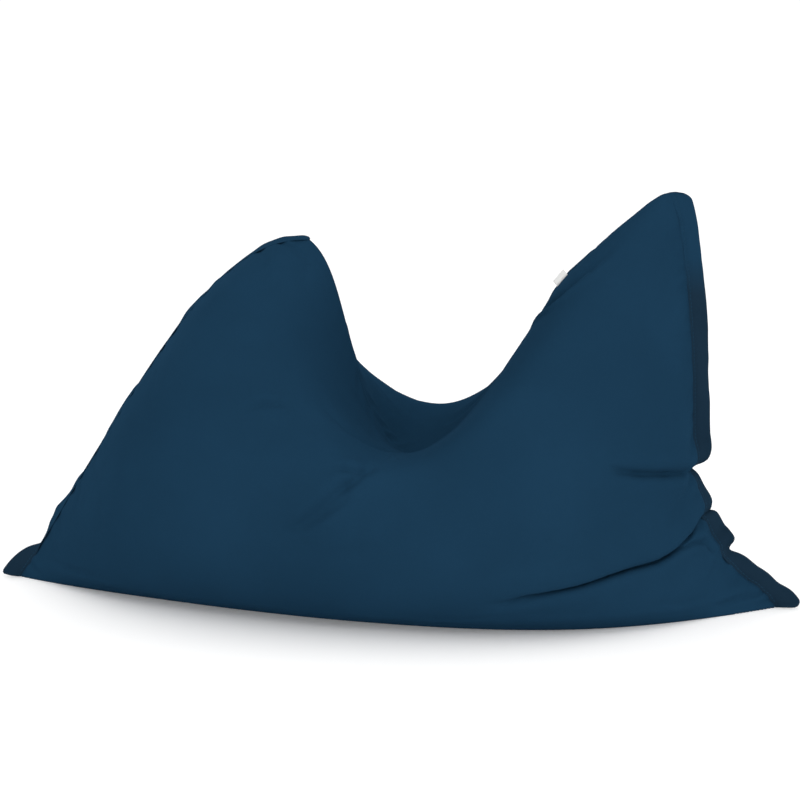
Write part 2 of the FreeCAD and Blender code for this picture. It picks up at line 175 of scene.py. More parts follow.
def panel_grid(net, side):
    """Grid of points (column, row, xyz) from the bottom seam, under the bag and up to the top."""
    poles = np.array(net, float) * MM
    poles[..., 1] = side * (poles[..., 1] + SEAM_HALF_GAP)
    u = np.linspace(0, 1, COLUMNS + 1)
    fine = np.einsum("ai,bj,ijk->abk", spline_weights(len(net), u),
                     spline_weights(len(net[0]), np.linspace(0, 1, 260)), poles)
    grid = np.zeros((COLUMNS + 1, ROWS + 1, 3))
    for i, column in enumerate(fine):
        seam_foot = np.array([column[0, 0], 0, 0])
        base = np.linspace(seam_foot, column[0], 40)[:-1]
        grid[i] = even_steps(np.vstack([base, column]), ROWS)
        edge_row = int(np.argmin(np.linalg.norm(grid[i] - column[0], axis=1)))
        if edge_row > 0:
            grid[i, edge_row] = column[0]      # a grid point on the edge of the resting face
    return grid


def grid_normals(grid, side):
    """Outward unit normals of a panel grid."""
    normals = np.cross(np.gradient(grid, axis=0), np.gradient(grid, axis=1)) * -side
    length = np.linalg.norm(normals, axis=2, keepdims=True)
    return normals / np.maximum(length, 1e-9)


def smooth_step(x):
    x = np.clip(x, 0, 1)
    return x * x * (3 - 2 * x)


def bell(x):
    return np.exp(-x * x)


# ---- slack, creases and gathers ----

# Shift of the right edge seam along X by height, mm: the seam draws in between the ear and the foot
RIGHT_EDGE_SHIFT = [(0, 0), (12, 0), (24, 2), (34, -2), (44, -9), (57, -13), (70, -15), (81, -18),
                    (90, -17), (99, -13), (115, -14), (130, -13), (140, -12), (149, -13),
                    (158, -8), (168, -5), (187, -6), (207, -8), (220, -10), (230, -5), (240, -1),
                    (270, 0), (660, 0)]

# Rise of the top seam along the ear by x, mm
TOP_SEAM_RISE = [(-130, 0), (222, 0), (245, 5), (265, 12), (285, 11), (305, 7), (330, 5),
                 (362, 7), (386, 9), (412, 13.5), (432, 13.5), (446, 8.5)]

# Creases: points on the cloth in mm with the strength at each, then the groove's depth and width,
# the height and width of the roll above it, of the roll below it, and how far the upper roll
# slides down over the groove
FRONT_CREASES = [
    ([(205, -281, 60, 0), (225, -279, 68, .3), (251, -278, 80, .7), (311, -260, 90, .95),
      (340, -246, 96, 1), (372, -227, 104, 1), (406, -201, 111, 1), (446, -161, 115, .95),
      (463, -139, 121, .9), (476, -115, 129, .85), (494, -77, 136, .8), (507, -36, 147, .7),
      (512, 0, 149, .6)], 10, 7, 9, 26, 4, 22, 9),
    ([(235, -274, 63, 0), (255, -273, 72, .7), (287, -268, 85, 0)], 4, 6, 2, 12, 1, 12, 1),
    ([(455, -150, 116, 0), (476, -118, 123, .8), (499, -77, 121, 1), (522, -35, 113, 1),
      (535, -24, 100, .9), (540, 0, 84, .8)], 5, 5, 4, 12, 2, 12, 3),
    ([(530, -80, 17, 0), (540, -71, 19, .6), (568, -42, 22, 1), (595, -13, 24, .8),
      (610, 0, 26, .7)], 4, 5, 3, 12, 1, 10, 2),
    ([(555, -58, 7, 0), (570, -47, 9, .8), (595, -24, 10, 1), (620, 0, 11, 1)],
     3, 4, 2, 8, 0, 8, 1),
    ([(10, -270, 268, 0), (2, -283, 265, .8), (-21, -287, 267, 1), (-45, -292, 266, 0)],
     5, 7, 3, 12, 3, 12, 2),
    ([(22, -262, 272, 0), (14, -281, 265, .8), (-17, -303, 245, 1), (-52, -315, 215, 1),
      (-83, -315, 188, .7), (-120, -308, 160, 0)], 6.5, 9, 4, 20, 4, 20, 3),
    ([(-5, -305, 237, 0), (-20, -314, 222, .8), (-50, -316, 200, 1), (-92, -315, 168, 0)],
     5, 8, 3, 16, 3, 16, 2),
    ([(-110, -236, 353, 0), (-130, -242, 357, .9), (-156, -246, 357, 1), (-195, -247, 349, 0)],
     3.5, 7, 2, 14, 2, 14, 1),
    ([(-118, -228, 372, 0), (-140, -234, 380, .8), (-172, -238, 384, 0)],
     2.5, 6, 2, 14, 1, 12, 1),
    ([(360, -207, 266, 0), (385, -190, 258, .6), (414, -165, 250, .9), (451, -116, 241, 1),
      (475, -60, 232, 1), (488, 0, 222, 1)], 7, 9, 6, 24, 5, 22, 3),
    ([(110, -320, 146, 0), (60, -322, 147, .7), (0, -320, 144, .8), (-60, -314, 138, 0)],
     2, 14, 1.5, 30, 1, 30, 0),
    ([(40, -60, 262, 0), (20, -80, 290, .8), (-5, -95, 335, 1), (-35, -100, 400, .6),
      (-60, -95, 450, 0)], 5, 11, 3, 26, 3, 26, 1),
    ([(80, -90, 262, 0), (115, -110, 290, .8), (150, -120, 335, .9), (190, -110, 400, 0)],
     5, 11, 3, 26, 3, 26, 1),
    ([(48, -120, 250, 0), (10, -170, 275, .8), (-35, -190, 310, .9), (-90, -195, 350, 0)],
     4, 10, 3, 24, 2, 24, 1),
]
BACK_CREASES = [
    ([(205, 285, 58, 0), (290, 262, 66, .8), (380, 214, 78, 1), (446, 158, 92, 1),
      (490, 90, 116, .9), (505, 40, 140, .8), (512, 0, 149, .6)], 7, 8, 6, 24, 3, 22, 5),
    ([(360, 205, 276, 0), (414, 160, 258, .9), (451, 112, 244, 1), (475, 58, 233, 1),
      (488, 0, 222, 1)], 6, 9, 5, 24, 4, 22, 3),
    ([(50, 80, 256, 0), (15, 110, 285, .8), (-15, 125, 335, 1), (-45, 120, 400, 0)],
     5, 11, 3, 26, 3, 26, 1),
    ([(75, 110, 262, 0), (115, 130, 295, .8), (160, 135, 350, .9), (200, 115, 410, 0)],
     5, 11, 3, 26, 3, 26, 1),
    ([(60, 250, 262, 0), (10, 290, 238, .9), (-40, 305, 215, .7), (-80, 308, 200, 0)],
     3, 9, 2, 22, 2, 22, 1),
]
# The sharp fold along the ear's slope just in front of the top seam
EAR_RIDGE = [(226, -10, 444, 0), (236, -28, 455, .6), (250, -56, 470, 1), (268, -86, 487, 1),
             (288, -96, 505, 1), (307, -93, 523, .9), (332, -86, 542, .7), (347, -77, 555, .5),
             (362, -67, 567, .3), (376, -53, 582, .15), (391, -39, 595, 0)]
# Shallow hollows: centre in mm, radius, depth
FRONT_HOLLOWS = [((375, -219, 184), 60, 7), ((-150, -225, 385), 70, 5), ((30, -300, 235), 70, 4)]
BACK_HOLLOWS = [((-150, 240, 385), 80, 5), ((360, 200, 330), 70, 4)]


def near_line(points, line):
    """For each point: distance from a line of (x, y, z, strength) points in mm, the line's
    strength and direction there, and the offset from it."""
    line = np.array(line, float)
    stations = line[:, :3] * MM
    best = np.full(points.shape[:-1], 1e9)
    strength = np.zeros_like(best)
    along = np.zeros_like(points)
    offset = np.zeros_like(points)
    for k in range(len(line) - 1):
        start = stations[k]
        step = stations[k + 1] - start
        share = np.clip(((points - start) @ step) / (step @ step), 0, 1)
        gap = points - (start + share[..., None] * step)
        reach = np.linalg.norm(gap, axis=-1)
        closer = reach < best
        best[closer] = reach[closer]
        strength[closer] = (line[k, 3] + share * (line[k + 1, 3] - line[k, 3]))[closer]
        offset[closer] = gap[closer]
        before = stations[max(k - 1, 0)]
        after = stations[min(k + 2, len(stations) - 1)]
        run = (1 - share)[..., None] * (stations[k + 1] - before)
        run += share[..., None] * (after - start)
        along[closer] = run[closer]
    along /= np.maximum(np.linalg.norm(along, axis=-1, keepdims=True), 1e-9)
    return best, strength, along, offset


def above_line(points, normals, line):
    """near_line's distance, negative below the line, with the strength and the way up."""
    reach, strength, along, offset = near_line(points, line)
    up = np.cross(normals, along)
    up *= np.where(up[..., 2:3] < 0, -1, 1)
    return reach * np.where((offset * up).sum(-1) < 0, -1, 1), strength, up


def roll(height, reach):
    """A rounded ridge, highest where reach is 1; its height is in mm."""
    return height * MM * 2.72 * reach * reach * np.exp(-reach * reach)


def crease_shift(points, normals, crease):
    """Displacement of the cloth round one crease."""
    line, depth, width, upper, upper_width, lower, lower_width, slide = crease
    signed, strength, up = above_line(points, normals, line)
    groove = -depth * MM * bell(signed / (width * MM))
    above = np.where(signed > 0, signed, 0) / (upper_width * MM)
    below = np.where(signed < 0, -signed, 0) / (lower_width * MM)
    rolls = roll(upper, above) + roll(lower, below)
    sliding = slide * MM * bell((signed - 0.5 * upper_width * MM) / (0.6 * upper_width * MM))
    return strength[..., None] * (normals * (groove + rolls)[..., None]
                                  - up * sliding[..., None])


CRISP_DEPTH = 7           # creases at least this deep, in mm, keep a crisp line
CREASE_FADE = 22 * MM     # creases and gathers grow in over this height above the floor,
CRISP_FADE = 16 * MM      # crisp lines over this,
RELAX_FADE = 20 * MM      # and the relaxed shape over this
SEAM_STILL = 5 * MM       # gathers begin this far from a seam
EDGE_REACH = 85 * MM      # how far the drawn-in right edge and the raised top seam carry
TOP_REACH = 60 * MM       # the cloth beside them along
FOLD_HEIGHT, FOLD_WIDTH = 3.2 * MM, 6.5 * MM   # the ear's sharp fold
FALL_DEPTH, FALL_AT, FALL_WIDTH = 6 * MM, 18 * MM, 11 * MM   # where it falls in above the fold


def join_edges(first, second):
    """Brings the edges of two grids together, in the seam plane."""
    for edge in (np.s_[0, :], np.s_[-1, :], np.s_[:, -1], np.s_[:, 0]):
        middle = (first[edge] + second[edge]) / 2
        middle[..., 1] = 0
        first[edge] = middle
        second[edge] = middle


def kept_in(grid, side):
    """Keeps a panel above the floor and on its own side of the seam plane."""
    grid[..., 2] = np.maximum(grid[..., 2], 0)
    grid[..., 1] = side * np.maximum(side * grid[..., 1], 0)
    return grid


def sharpened(grid, plain, side, creases):
    """The relaxed grid with a narrow, deeper line pressed into the middle of each deep crease."""
    normals = grid_normals(grid, side)
    shift = np.zeros_like(grid)
    for line, depth, width, *_ in creases:
        if depth >= CRISP_DEPTH:
            narrow = (line, 0.75 * depth, 0.48 * width, 0.25 * depth, 1.6 * width, 0, 10,
                      0.35 * depth)
            shift += crease_shift(plain, normals, narrow)
    if side < 0:
        shift += ridge_shift(plain, normals, EAR_RIDGE)
    lifted = smooth_step(plain[..., 2:3] / CRISP_FADE)
    hold = zip_hold(plain)[..., None] if side > 0 else 0
    return kept_in(grid + shift * lifted * (1 - hold), side)


def ridge_shift(points, normals, line):
    """A sharp fold along a line, with the cloth above it falling in towards the seam."""
    signed, strength, _ = above_line(points, normals, line)
    fold = FOLD_HEIGHT * bell(signed / FOLD_WIDTH)
    fold -= FALL_DEPTH * bell((signed - FALL_AT) / FALL_WIDTH)
    return normals * (fold * strength)[..., None]


def hollow_shift(points, normals, hollow):
    centre, radius, depth = hollow
    reach = np.linalg.norm(points - np.array(centre) * MM, axis=-1)
    return normals * (-depth * MM * bell(reach / (radius * MM)))[..., None]


def gathers(rng, along, distance, spacing, depth, length):
    """Small grooves that run in from a seam, spaced unevenly. Lengths in mm."""
    shift = np.zeros_like(distance)
    end = along.max()
    at = rng.uniform(0.3, 1.0) * spacing * MM
    while at < end:
        groove_depth = depth * MM * rng.uniform(0.35, 1.0)
        groove_length = length * MM * rng.uniform(0.5, 1.3)
        groove_width = rng.uniform(4.5, 9.0) * MM
        lean = rng.uniform(-0.35, 0.35)
        across = along - at - lean * distance
        widening = groove_width * (1 + distance / (groove_length * 1.2))
        fade = np.exp(-(distance / groove_length) ** 2)
        shift -= groove_depth * fade * bell(across / widening)
        shift += 0.45 * groove_depth * fade * bell((np.abs(across) - 1.9 * widening) / widening)
        at += spacing * MM * rng.uniform(0.6, 1.5)
    return shift


def seam_distances(grid):
    """Run along and distance from the left, right and top seams, for every grid point."""
    steps = [np.linalg.norm(np.diff(grid, axis=axis), axis=2) for axis in (0, 1)]
    across = np.pad(np.cumsum(steps[0], axis=0), ((1, 0), (0, 0)))
    upward = np.pad(np.cumsum(steps[1], axis=1), ((0, 0), (1, 0)))
    left_along = np.broadcast_to(run_length(grid[0])[None, :], across.shape)
    right_along = np.broadcast_to(run_length(grid[-1])[None, :], across.shape)
    top_along = np.broadcast_to(run_length(grid[:, -1])[:, None], across.shape)
    return ((left_along, across), (right_along, across[-1:] - across),
            (top_along, upward[:, -1:] - upward))


def slow_waves(points, rng, count, wavelength, height):
    """Gentle irregular waves in space."""
    total = np.zeros(points.shape[:-1])
    for _ in range(count):
        direction = rng.normal(size=3)
        direction /= np.linalg.norm(direction)
        length = wavelength * MM * rng.uniform(0.7, 1.5)
        total += np.sin(points @ direction * 2 * math.pi / length + rng.uniform(0, 6.28))
    return total * height * MM / math.sqrt(count)


HOLD_MARGIN = 30 * MM     # the back panel stays on the CAD this far round the zip, and is free
HOLD_FADE_ALONG = 70 * MM  # again this much further along it
HOLD_FADE_UP = 50 * MM    # and this much further up and down
BACK_START = 100 * MM     # the zip's side of the bag, along Y


def zip_hold(grid):
    """1 where the back panel has to stay on the CAD round the zip, falling to 0 around it."""
    along = np.arctan2(grid[..., 0], grid[..., 1] - BELLY_AXIS_Y) * BELLY_RADIUS
    sideways = smooth_step((np.abs(along) - (ZIP_HALF + HOLD_MARGIN)) / HOLD_FADE_ALONG)
    upward = smooth_step((np.abs(grid[..., 2] - ZIP_HEIGHT) - HOLD_MARGIN) / HOLD_FADE_UP)
    return np.where(grid[..., 1] < BACK_START, 0, (1 - sideways) * (1 - upward))


def dressed(grid, side, creases, hollows):
    """The panel grid with its creases, gathers and slack."""
    rng = np.random.default_rng(SEED + (side > 0))
    normals = grid_normals(grid, side)
    shift = np.zeros_like(grid)
    for crease in creases:
        shift += crease_shift(grid, normals, crease)
    for hollow in hollows:
        shift += hollow_shift(grid, normals, hollow)
    left, right, top = seam_distances(grid)
    puckers = gathers(rng, *left, spacing=44, depth=2.6, length=70)
    puckers += gathers(rng, *right, spacing=36, depth=2.8, length=60)
    puckers += gathers(rng, *top, spacing=52, depth=1.1, length=60)
    puckers += slow_waves(grid, rng, 6, 210, 1.3)
    edge = smooth_step(np.minimum.reduce([left[1], right[1], top[1]]) / SEAM_STILL)
    shift += normals * (puckers * edge)[..., None]
    if side < 0:
        shift += ridge_shift(grid, normals, EAR_RIDGE)
    draw = from_table(RIGHT_EDGE_SHIFT, grid[-1, :, 2], MM)
    shift[..., 0] += draw[None, :] * bell(right[1] / EDGE_REACH)
    rise = from_table(TOP_SEAM_RISE, grid[:, -1, 0], MM)
    shift[..., 2] += rise[:, None] * bell(top[1] / TOP_REACH)
    on_seam = (left[1] < 1e-9) | (right[1] < 1e-9) | (top[1] < 1e-9)
    shift[..., 1][on_seam] = 0
    hold = zip_hold(grid) if side > 0 else 0
    lifted = smooth_step(grid[..., 2] / CREASE_FADE)
    shift *= (lifted * (1 - hold))[..., None]
    return kept_in(grid + shift, side)


# ---- mesh helpers ----

def link(obj):
    bpy.context.scene.collection.objects.link(obj)
    return obj


def mesh_object(name, vertices, faces):
    mesh = bpy.data.meshes.new(name)
    mesh.from_pydata([tuple(v) for v in vertices], [], faces)
    mesh.validate()
    mesh.update()
    mesh.polygons.foreach_set("use_smooth", [True] * len(mesh.polygons))
    return link(bpy.data.objects.new(name, mesh))


def grid_faces(columns, rows, flip, first=0, closed=False):
    """Quads of a columns x rows grid of vertices; closed joins the last row to the first. Each
    starts at the corner from which its diagonal runs along the edge of the resting face."""
    faces = []
    for i in range(columns - 1):
        for j in range(rows if closed else rows - 1):
            k = (j + 1) % rows
            a, b = first + i * rows + j, first + i * rows + k
            quad = (a, a + rows, b + rows, b)
            if i >= (columns - 1) // 2:
                quad = quad[1:] + quad[:1]
            faces.append(quad[:1] + quad[:0:-1] if flip else quad)
    return faces


def grid_object(name, grid, flip):
    columns, rows = grid.shape[:2]
    return mesh_object(name, grid.reshape(-1, 3), grid_faces(columns, rows, flip))


@contextlib.contextmanager
def edited(mesh):
    """The mesh as a bmesh, written back at the end."""
    work = bmesh.new()
    work.from_mesh(mesh)
    yield work
    work.to_mesh(mesh)
    work.free()
    mesh.update()


def facing_out(obj):
    """Turns all faces of a closed mesh outward."""
    with edited(obj.data) as work:
        bmesh.ops.recalc_face_normals(work, faces=work.faces)
    return obj


def tube_object(name, sections):
    """A closed skin through a row of closed sections, with capped ends."""
    columns, rows = sections.shape[:2]
    faces = grid_faces(columns, rows, False, closed=True)
    last = (columns - 1) * rows
    faces += [tuple(range(rows)), tuple(last + k for k in range(rows))[::-1]]
    return facing_out(mesh_object(name, sections.reshape(-1, 3), faces))


def add_wall(obj, thickness):
    """Gives a panel its thickness, inward, thinned where the two halves meet at a sharp edge."""
    group = obj.vertex_groups.new(name="wall")
    for vertex in obj.data.vertices:
        share = min(1.0, max(0.05, abs(vertex.co.y) / (4 * thickness)))
        group.add([vertex.index], share, "REPLACE")
    modifier = obj.modifiers.new("thickness", "SOLIDIFY")
    modifier.thickness = thickness
    modifier.offset = -1
    modifier.use_even_offset = False
    modifier.vertex_group = "wall"


def add_bevel(obj, width):
    modifier = obj.modifiers.new("edges", "BEVEL")
    modifier.width = width
    modifier.segments = 3
    modifier.limit_method = "ANGLE"
    modifier.angle_limit = math.radians(35)


def paint(obj, material):
    obj.data.materials.clear()
    obj.data.materials.append(material)


def dress_piece(obj, material, replaced=()):
    """Every new piece is part of the bag itself: only the CAD's own sliders and pull move."""
    paint(obj, material)
    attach(obj, "bag")
    if replaced:
        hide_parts(*replaced)
    return obj


# ---- materials ----

def feed(socket, value):
    """Gives a node's input a value, or links it to another node's output."""
    if isinstance(value, bpy.types.NodeSocket):
        socket.id_data.links.new(value, socket)
    else:
        socket.default_value = value


def set_inputs(node, **values):
    """Feeds a node's inputs by name; an underscore stands for a space."""
    for name, value in values.items():
        feed(node.inputs[name.replace("_", " ")], value)


def new_material(name, color, roughness, metallic=0.0, specular=0.5):
    material = bpy.data.materials.new(name)
    material.use_nodes = True
    shader = material.node_tree.nodes["Principled BSDF"]
    set_inputs(shader, Base_Color=list(color) + [1], Roughness=roughness, Metallic=metallic,
               Specular_IOR_Level=specular)
    return material, material.node_tree, shader


def add_node(tree, kind, **values):
    node = tree.nodes.new("ShaderNode" + kind)
    set_inputs(node, **values)
    return node


def object_coords(tree):
    return add_node(tree, "TexCoord").outputs["Object"]


def math_node(tree, operation, first, second):
    node = add_node(tree, "Math")
    node.operation = operation
    feed(node.inputs[0], first)
    feed(node.inputs[1], second)
    return node.outputs[0]


def tone_ramp(tree, shader, value, color, tone):
    ramp = add_node(tree, "ValToRGB", Fac=value)
    for element, place, share in zip(ramp.color_ramp.elements, (0.35, 0.65), (-tone, tone)):
        element.position = place
        element.color = [c * (1 + share) for c in color] + [1]
    set_inputs(shader, Base_Color=ramp.outputs["Color"])


def add_relief(tree, shader, height, strength, distance):
    relief = add_node(tree, "Bump", Strength=strength, Distance=distance, Height=height)
    set_inputs(shader, Normal=relief.outputs["Normal"])


def cloth_material(name, color, threads_per_m=1100, roughness=0.88, tone=0.11, sheen=0.06,
                   strength=0.45):
    """Plain-woven cloth: two crossed sets of threads, slubs, and slow changes of tone."""
    material, tree, shader = new_material(name, color, roughness, specular=0.0)
    coords = object_coords(tree)
    slow = add_node(tree, "TexNoise", Vector=coords, Scale=6, Detail=4).outputs["Fac"]
    fine = add_node(tree, "TexNoise", Vector=coords, Scale=380, Detail=3).outputs["Fac"]
    threads = []
    for direction in ("X", "Z"):
        wave = add_node(tree, "TexWave", Vector=coords, Scale=threads_per_m / 20 * 6.283,
                        Distortion=1.5, Detail=1, Detail_Scale=2)
        wave.wave_type = "BANDS"
        wave.bands_direction = direction
        threads.append(wave.outputs["Fac"])
    weave = math_node(tree, "MULTIPLY", *threads)
    tones = [math_node(tree, "MULTIPLY", value, share)
             for value, share in ((slow, 0.55), (fine, 0.2), (weave, 0.35))]
    tone_value = math_node(tree, "ADD", tones[0], math_node(tree, "ADD", *tones[1:]))
    tone_ramp(tree, shader, tone_value, color, tone)
    slubs = math_node(tree, "MULTIPLY", fine, 0.8)
    add_relief(tree, shader, math_node(tree, "ADD", weave, slubs), strength, 0.4 * MM)
    set_inputs(shader, Sheen_Weight=sheen, Sheen_Roughness=0.3,
               Sheen_Tint=[min(1, c * 8 + 0.05) for c in color] + [1])
    return material


def painted_shade_hem_material(name, painted_shade_color, high_color, heights):
    """The cover's cloth on the hem flanges: in the panel's shade below, catching light above."""
    material = cloth_material(name, painted_shade_color, tone=0.09)
    tree = material.node_tree
    shader = tree.nodes["Principled BSDF"]
    split = add_node(tree, "SeparateXYZ", Vector=object_coords(tree))
    share = add_node(tree, "MapRange", From_Min=heights[0], From_Max=heights[1],
                     Value=split.outputs["Z"])
    mix = add_node(tree, "Mix")
    mix.data_type = "RGBA"
    set_inputs(mix, Factor=share.outputs["Result"], B=list(high_color) + [1],
               A=shader.inputs["Base Color"].links[0].from_socket)
    set_inputs(shader, Base_Color=mix.outputs["Result"])
    return material


def grained_material(name, color, roughness, metallic=0.0, strength=0.1):
    """Moulded plastic or cast metal: fine grain, and faint patches of tone and roughness."""
    material, tree, shader = new_material(name, color, roughness, metallic)
    coords = object_coords(tree)
    patches = add_node(tree, "TexNoise", Vector=coords, Scale=60, Detail=4).outputs["Fac"]
    grain = add_node(tree, "TexNoise", Vector=coords, Scale=900, Detail=4).outputs["Fac"]
    tone_ramp(tree, shader, patches, color, 0.05)
    add_relief(tree, shader, grain, strength, 0.05 * MM)
    rough = add_node(tree, "MapRange", Value=patches, To_Min=roughness - 0.08,
                     To_Max=roughness + 0.1)
    set_inputs(shader, Roughness=rough.outputs["Result"])
    return material


def bead_material(name, color):
    """A mass of small round foam beads, each painted lighter in its middle and darker towards its
    edge, a painted shade between the beads.
    """
    material, tree, shader = new_material(name, color, 0.65)
    cells = add_node(tree, "TexVoronoi", Vector=object_coords(tree), Scale=240)
    bead = math_node(tree, "SUBTRACT", 1.0, cells.outputs["Distance"])
    # The beads' relief value also sets their colour: painted shade darkens each bead towards the
    # gaps between beads.
    tone_ramp(tree, shader, bead, color, 0.1)
    add_relief(tree, shader, bead, 0.9, 3 * MM)
    return material


NAVY = (0.0088, 0.0338, 0.0668)
# The darker navy is painted shade. The hem flanges are the cover's own cloth, so each hem is
# painted darker below a given height, where it lies in shade, and fades to the cover's navy above.
NAVY_PAINTED_SHADE = (0.0096, 0.0248, 0.0440)
cover_cloth = cloth_material("cover_cloth", NAVY)
hem_cloth = painted_shade_hem_material("hem_cloth", NAVY_PAINTED_SHADE, NAVY, (0.50, 0.56))
left_hem_cloth = painted_shade_hem_material("left_hem_cloth", NAVY_PAINTED_SHADE, NAVY, (0.04, 0.10))
thread_material = cloth_material("navy_thread", (0.013, 0.046, 0.085), 4000, 0.7, sheen=0.1)
liner_cloth = cloth_material("liner_cloth", (0.62, 0.62, 0.60), 700, 0.8)
tape_cloth = cloth_material("tape_cloth", (0.0085, 0.028, 0.050), 2200, 0.8, strength=0.5)
label_cloth = cloth_material("label_cloth", (0.80, 0.80, 0.79), 2600, 0.6, tone=0.03)
coil_plastic = grained_material("coil_plastic", (0.010, 0.034, 0.060), 0.35)
white_plastic = grained_material("white_plastic", (0.75, 0.75, 0.74), 0.4)
zip_metal = grained_material("zip_metal", (0.42, 0.42, 0.43), 0.32, 1.0, strength=0.2)
beads = bead_material("beads", (0.82, 0.82, 0.82))


# ---- cover panels ----

plain_front = panel_grid(FRONT_NET, -1)
plain_back = panel_grid(back_net(), 1)
front = dressed(plain_front, -1, FRONT_CREASES, FRONT_HOLLOWS)
back = dressed(plain_back, 1, BACK_CREASES, BACK_HOLLOWS)
join_edges(front, back)


# ---- relaxing the cloth: pressure from the beads, with spare cloth at the seams and creases ----

RELAX_FRAMES = 32
RELAX_STEP = 2            # the cloth is relaxed on every second grid point
RELAX_LIMIT = 11 * MM     # the most that relaxing may move a point
CLOTH_SETTINGS = {
    "quality": 5, "mass": 0.25, "air_damping": 4, "tension_stiffness": 18,
    "compression_stiffness": 18, "shear_stiffness": 6, "bending_stiffness": 0.4,
    "use_pressure": True, "uniform_pressure_force": 2.5, "vertex_group_mass": "hold",
    "pin_stiffness": 0.6, "vertex_group_shrink": "spare", "shrink_min": 0.0,
    "shrink_max": -0.07,
}


def relaxed_shift(front_grid, back_grid, spare_front, spare_back, hold_front, hold_back):
    """Displacement of both grids from a short cloth simulation of the closed, filled cover."""
    coarse = np.s_[::RELAX_STEP, ::RELAX_STEP]
    columns, rows = front_grid[coarse].shape[:2]
    front_index = np.arange(columns * rows).reshape(columns, rows)
    inner = np.zeros((columns, rows), bool)
    inner[1:-1, 1:-1] = True
    back_index = front_index.copy()
    back_index[inner] = columns * rows + np.arange(inner.sum())
    vertices = np.concatenate([front_grid[coarse].reshape(-1, 3), back_grid[coarse][inner]])
    faces = []
    for index, turn in ((front_index, 1), (back_index, -1)):
        quads = np.stack([index[:-1, :-1], index[1:, :-1], index[1:, 1:], index[:-1, 1:]], axis=2)
        faces += quads.reshape(-1, 4)[:, ::turn].tolist()
    obj = mesh_object("relaxing", vertices, faces)
    for name, on_front, on_back in (("spare", spare_front, spare_back),
                                    ("hold", hold_front, hold_back)):
        group = obj.vertex_groups.new(name=name)
        weights = np.concatenate([on_front[coarse].reshape(-1), on_back[coarse][inner]])
        for k, weight in enumerate(weights):
            group.add([k], float(weight), "REPLACE")
    modifier = obj.modifiers.new("cloth", "CLOTH")
    for name, value in CLOTH_SETTINGS.items():
        setattr(modifier.settings, name, value)
    modifier.settings.effector_weights.gravity = 0.1
    modifier.collision_settings.use_collision = False
    modifier.collision_settings.use_self_collision = False
    scene = bpy.context.scene
    for span in (modifier.point_cache, scene):
        span.frame_start, span.frame_end = 1, RELAX_FRAMES
    for number in range(1, RELAX_FRAMES + 1):
        scene.frame_set(number)
    done = obj.evaluated_get(bpy.context.evaluated_depsgraph_get())
    settled = np.array([v.co for v in done.data.vertices])
    scene.frame_set(1)
    moved = settled - vertices
    mesh = obj.data
    bpy.data.objects.remove(obj)
    bpy.data.meshes.remove(mesh)
    size = np.linalg.norm(moved, axis=1, keepdims=True)
    moved *= RELAX_LIMIT * np.tanh(size / RELAX_LIMIT) / np.maximum(size, 1e-9)
    return finer(moved[front_index]), finer(moved[back_index])


def finer(values):
    """The same smooth field on a grid with twice as many steps each way."""
    for axis in (0, 1):
        values = np.moveaxis(values, axis, 0)
        padded = np.concatenate([2 * values[:1] - values[1:2], values,
                                 2 * values[-1:] - values[-2:-1]])
        middle = (9 * (padded[1:-2] + padded[2:-1]) - padded[:-3] - padded[3:]) / 16
        out = np.zeros((2 * len(values) - 1,) + values.shape[1:])
        out[::2] = values
        out[1::2] = middle
        values = np.moveaxis(out, 0, axis)
    return values


SPARE_EVERYWHERE = 0.12
# Share of spare cloth at the left, right and top seams, and how far in it reaches
SPARE_AT_SEAMS = ((0.8, 70 * MM), (1.0, 80 * MM), (0.7, 60 * MM))
SPARE_AT_CREASE, SPARE_CREASE_REACH = 0.7, 35 * MM
HOLD_LEAST, HOLD_ON_SEAM, HOLD_SEAM_REACH = 0.16, 0.55, 6 * MM
HOLD_FLOOR, HOLD_FLOOR_FADE = 4 * MM, 30 * MM   # held up to this height, then less over this


def spare_cloth(grid, creases):
    """Where there is more cloth than the shape needs: near the seams and along creases."""
    spare = np.maximum.reduce([share * bell(seam[1] / reach) for seam, (share, reach)
                               in zip(seam_distances(grid), SPARE_AT_SEAMS)])
    for crease in creases:
        reach, strength, _, _ = near_line(grid, crease[0])
        spare = np.maximum(spare, SPARE_AT_CREASE * strength * bell(reach / SPARE_CREASE_REACH))
    return np.clip(SPARE_EVERYWHERE + spare, 0, 1)


def hold_weights(grid, side):
    """How firmly each point is held: fully on the floor and round the zip, softly elsewhere."""
    low = 1 - smooth_step((grid[..., 2] - HOLD_FLOOR) / HOLD_FLOOR_FADE)
    firm = np.maximum(low, zip_hold(grid) if side > 0 else 0)
    on_seam = np.maximum.reduce([bell(seam[1] / HOLD_SEAM_REACH) for seam in seam_distances(grid)])
    return np.clip(np.maximum(np.maximum(HOLD_LEAST, HOLD_ON_SEAM * on_seam), firm), 0, 1)


shifts = relaxed_shift(
    front, back, spare_cloth(front, FRONT_CREASES), spare_cloth(back, BACK_CREASES),
    hold_weights(front, -1), hold_weights(back, 1))
for grid, shift, side in ((front, shifts[0], -1), (back, shifts[1], 1)):
    shift[..., 1][[0, -1]] = 0
    shift[..., 1][:, [0, -1]] = 0
    grid += shift * smooth_step(grid[..., 2:3] / RELAX_FADE)
    kept_in(grid, side)
front = sharpened(front, plain_front, -1, FRONT_CREASES)
back = sharpened(back, plain_back, 1, BACK_CREASES)
join_edges(front, back)


def cut_at(work, point, normal):
    geometry = list(work.verts) + list(work.edges) + list(work.faces)
    bmesh.ops.bisect_plane(work, geom=geometry, dist=1e-7, plane_co=point, plane_no=normal)


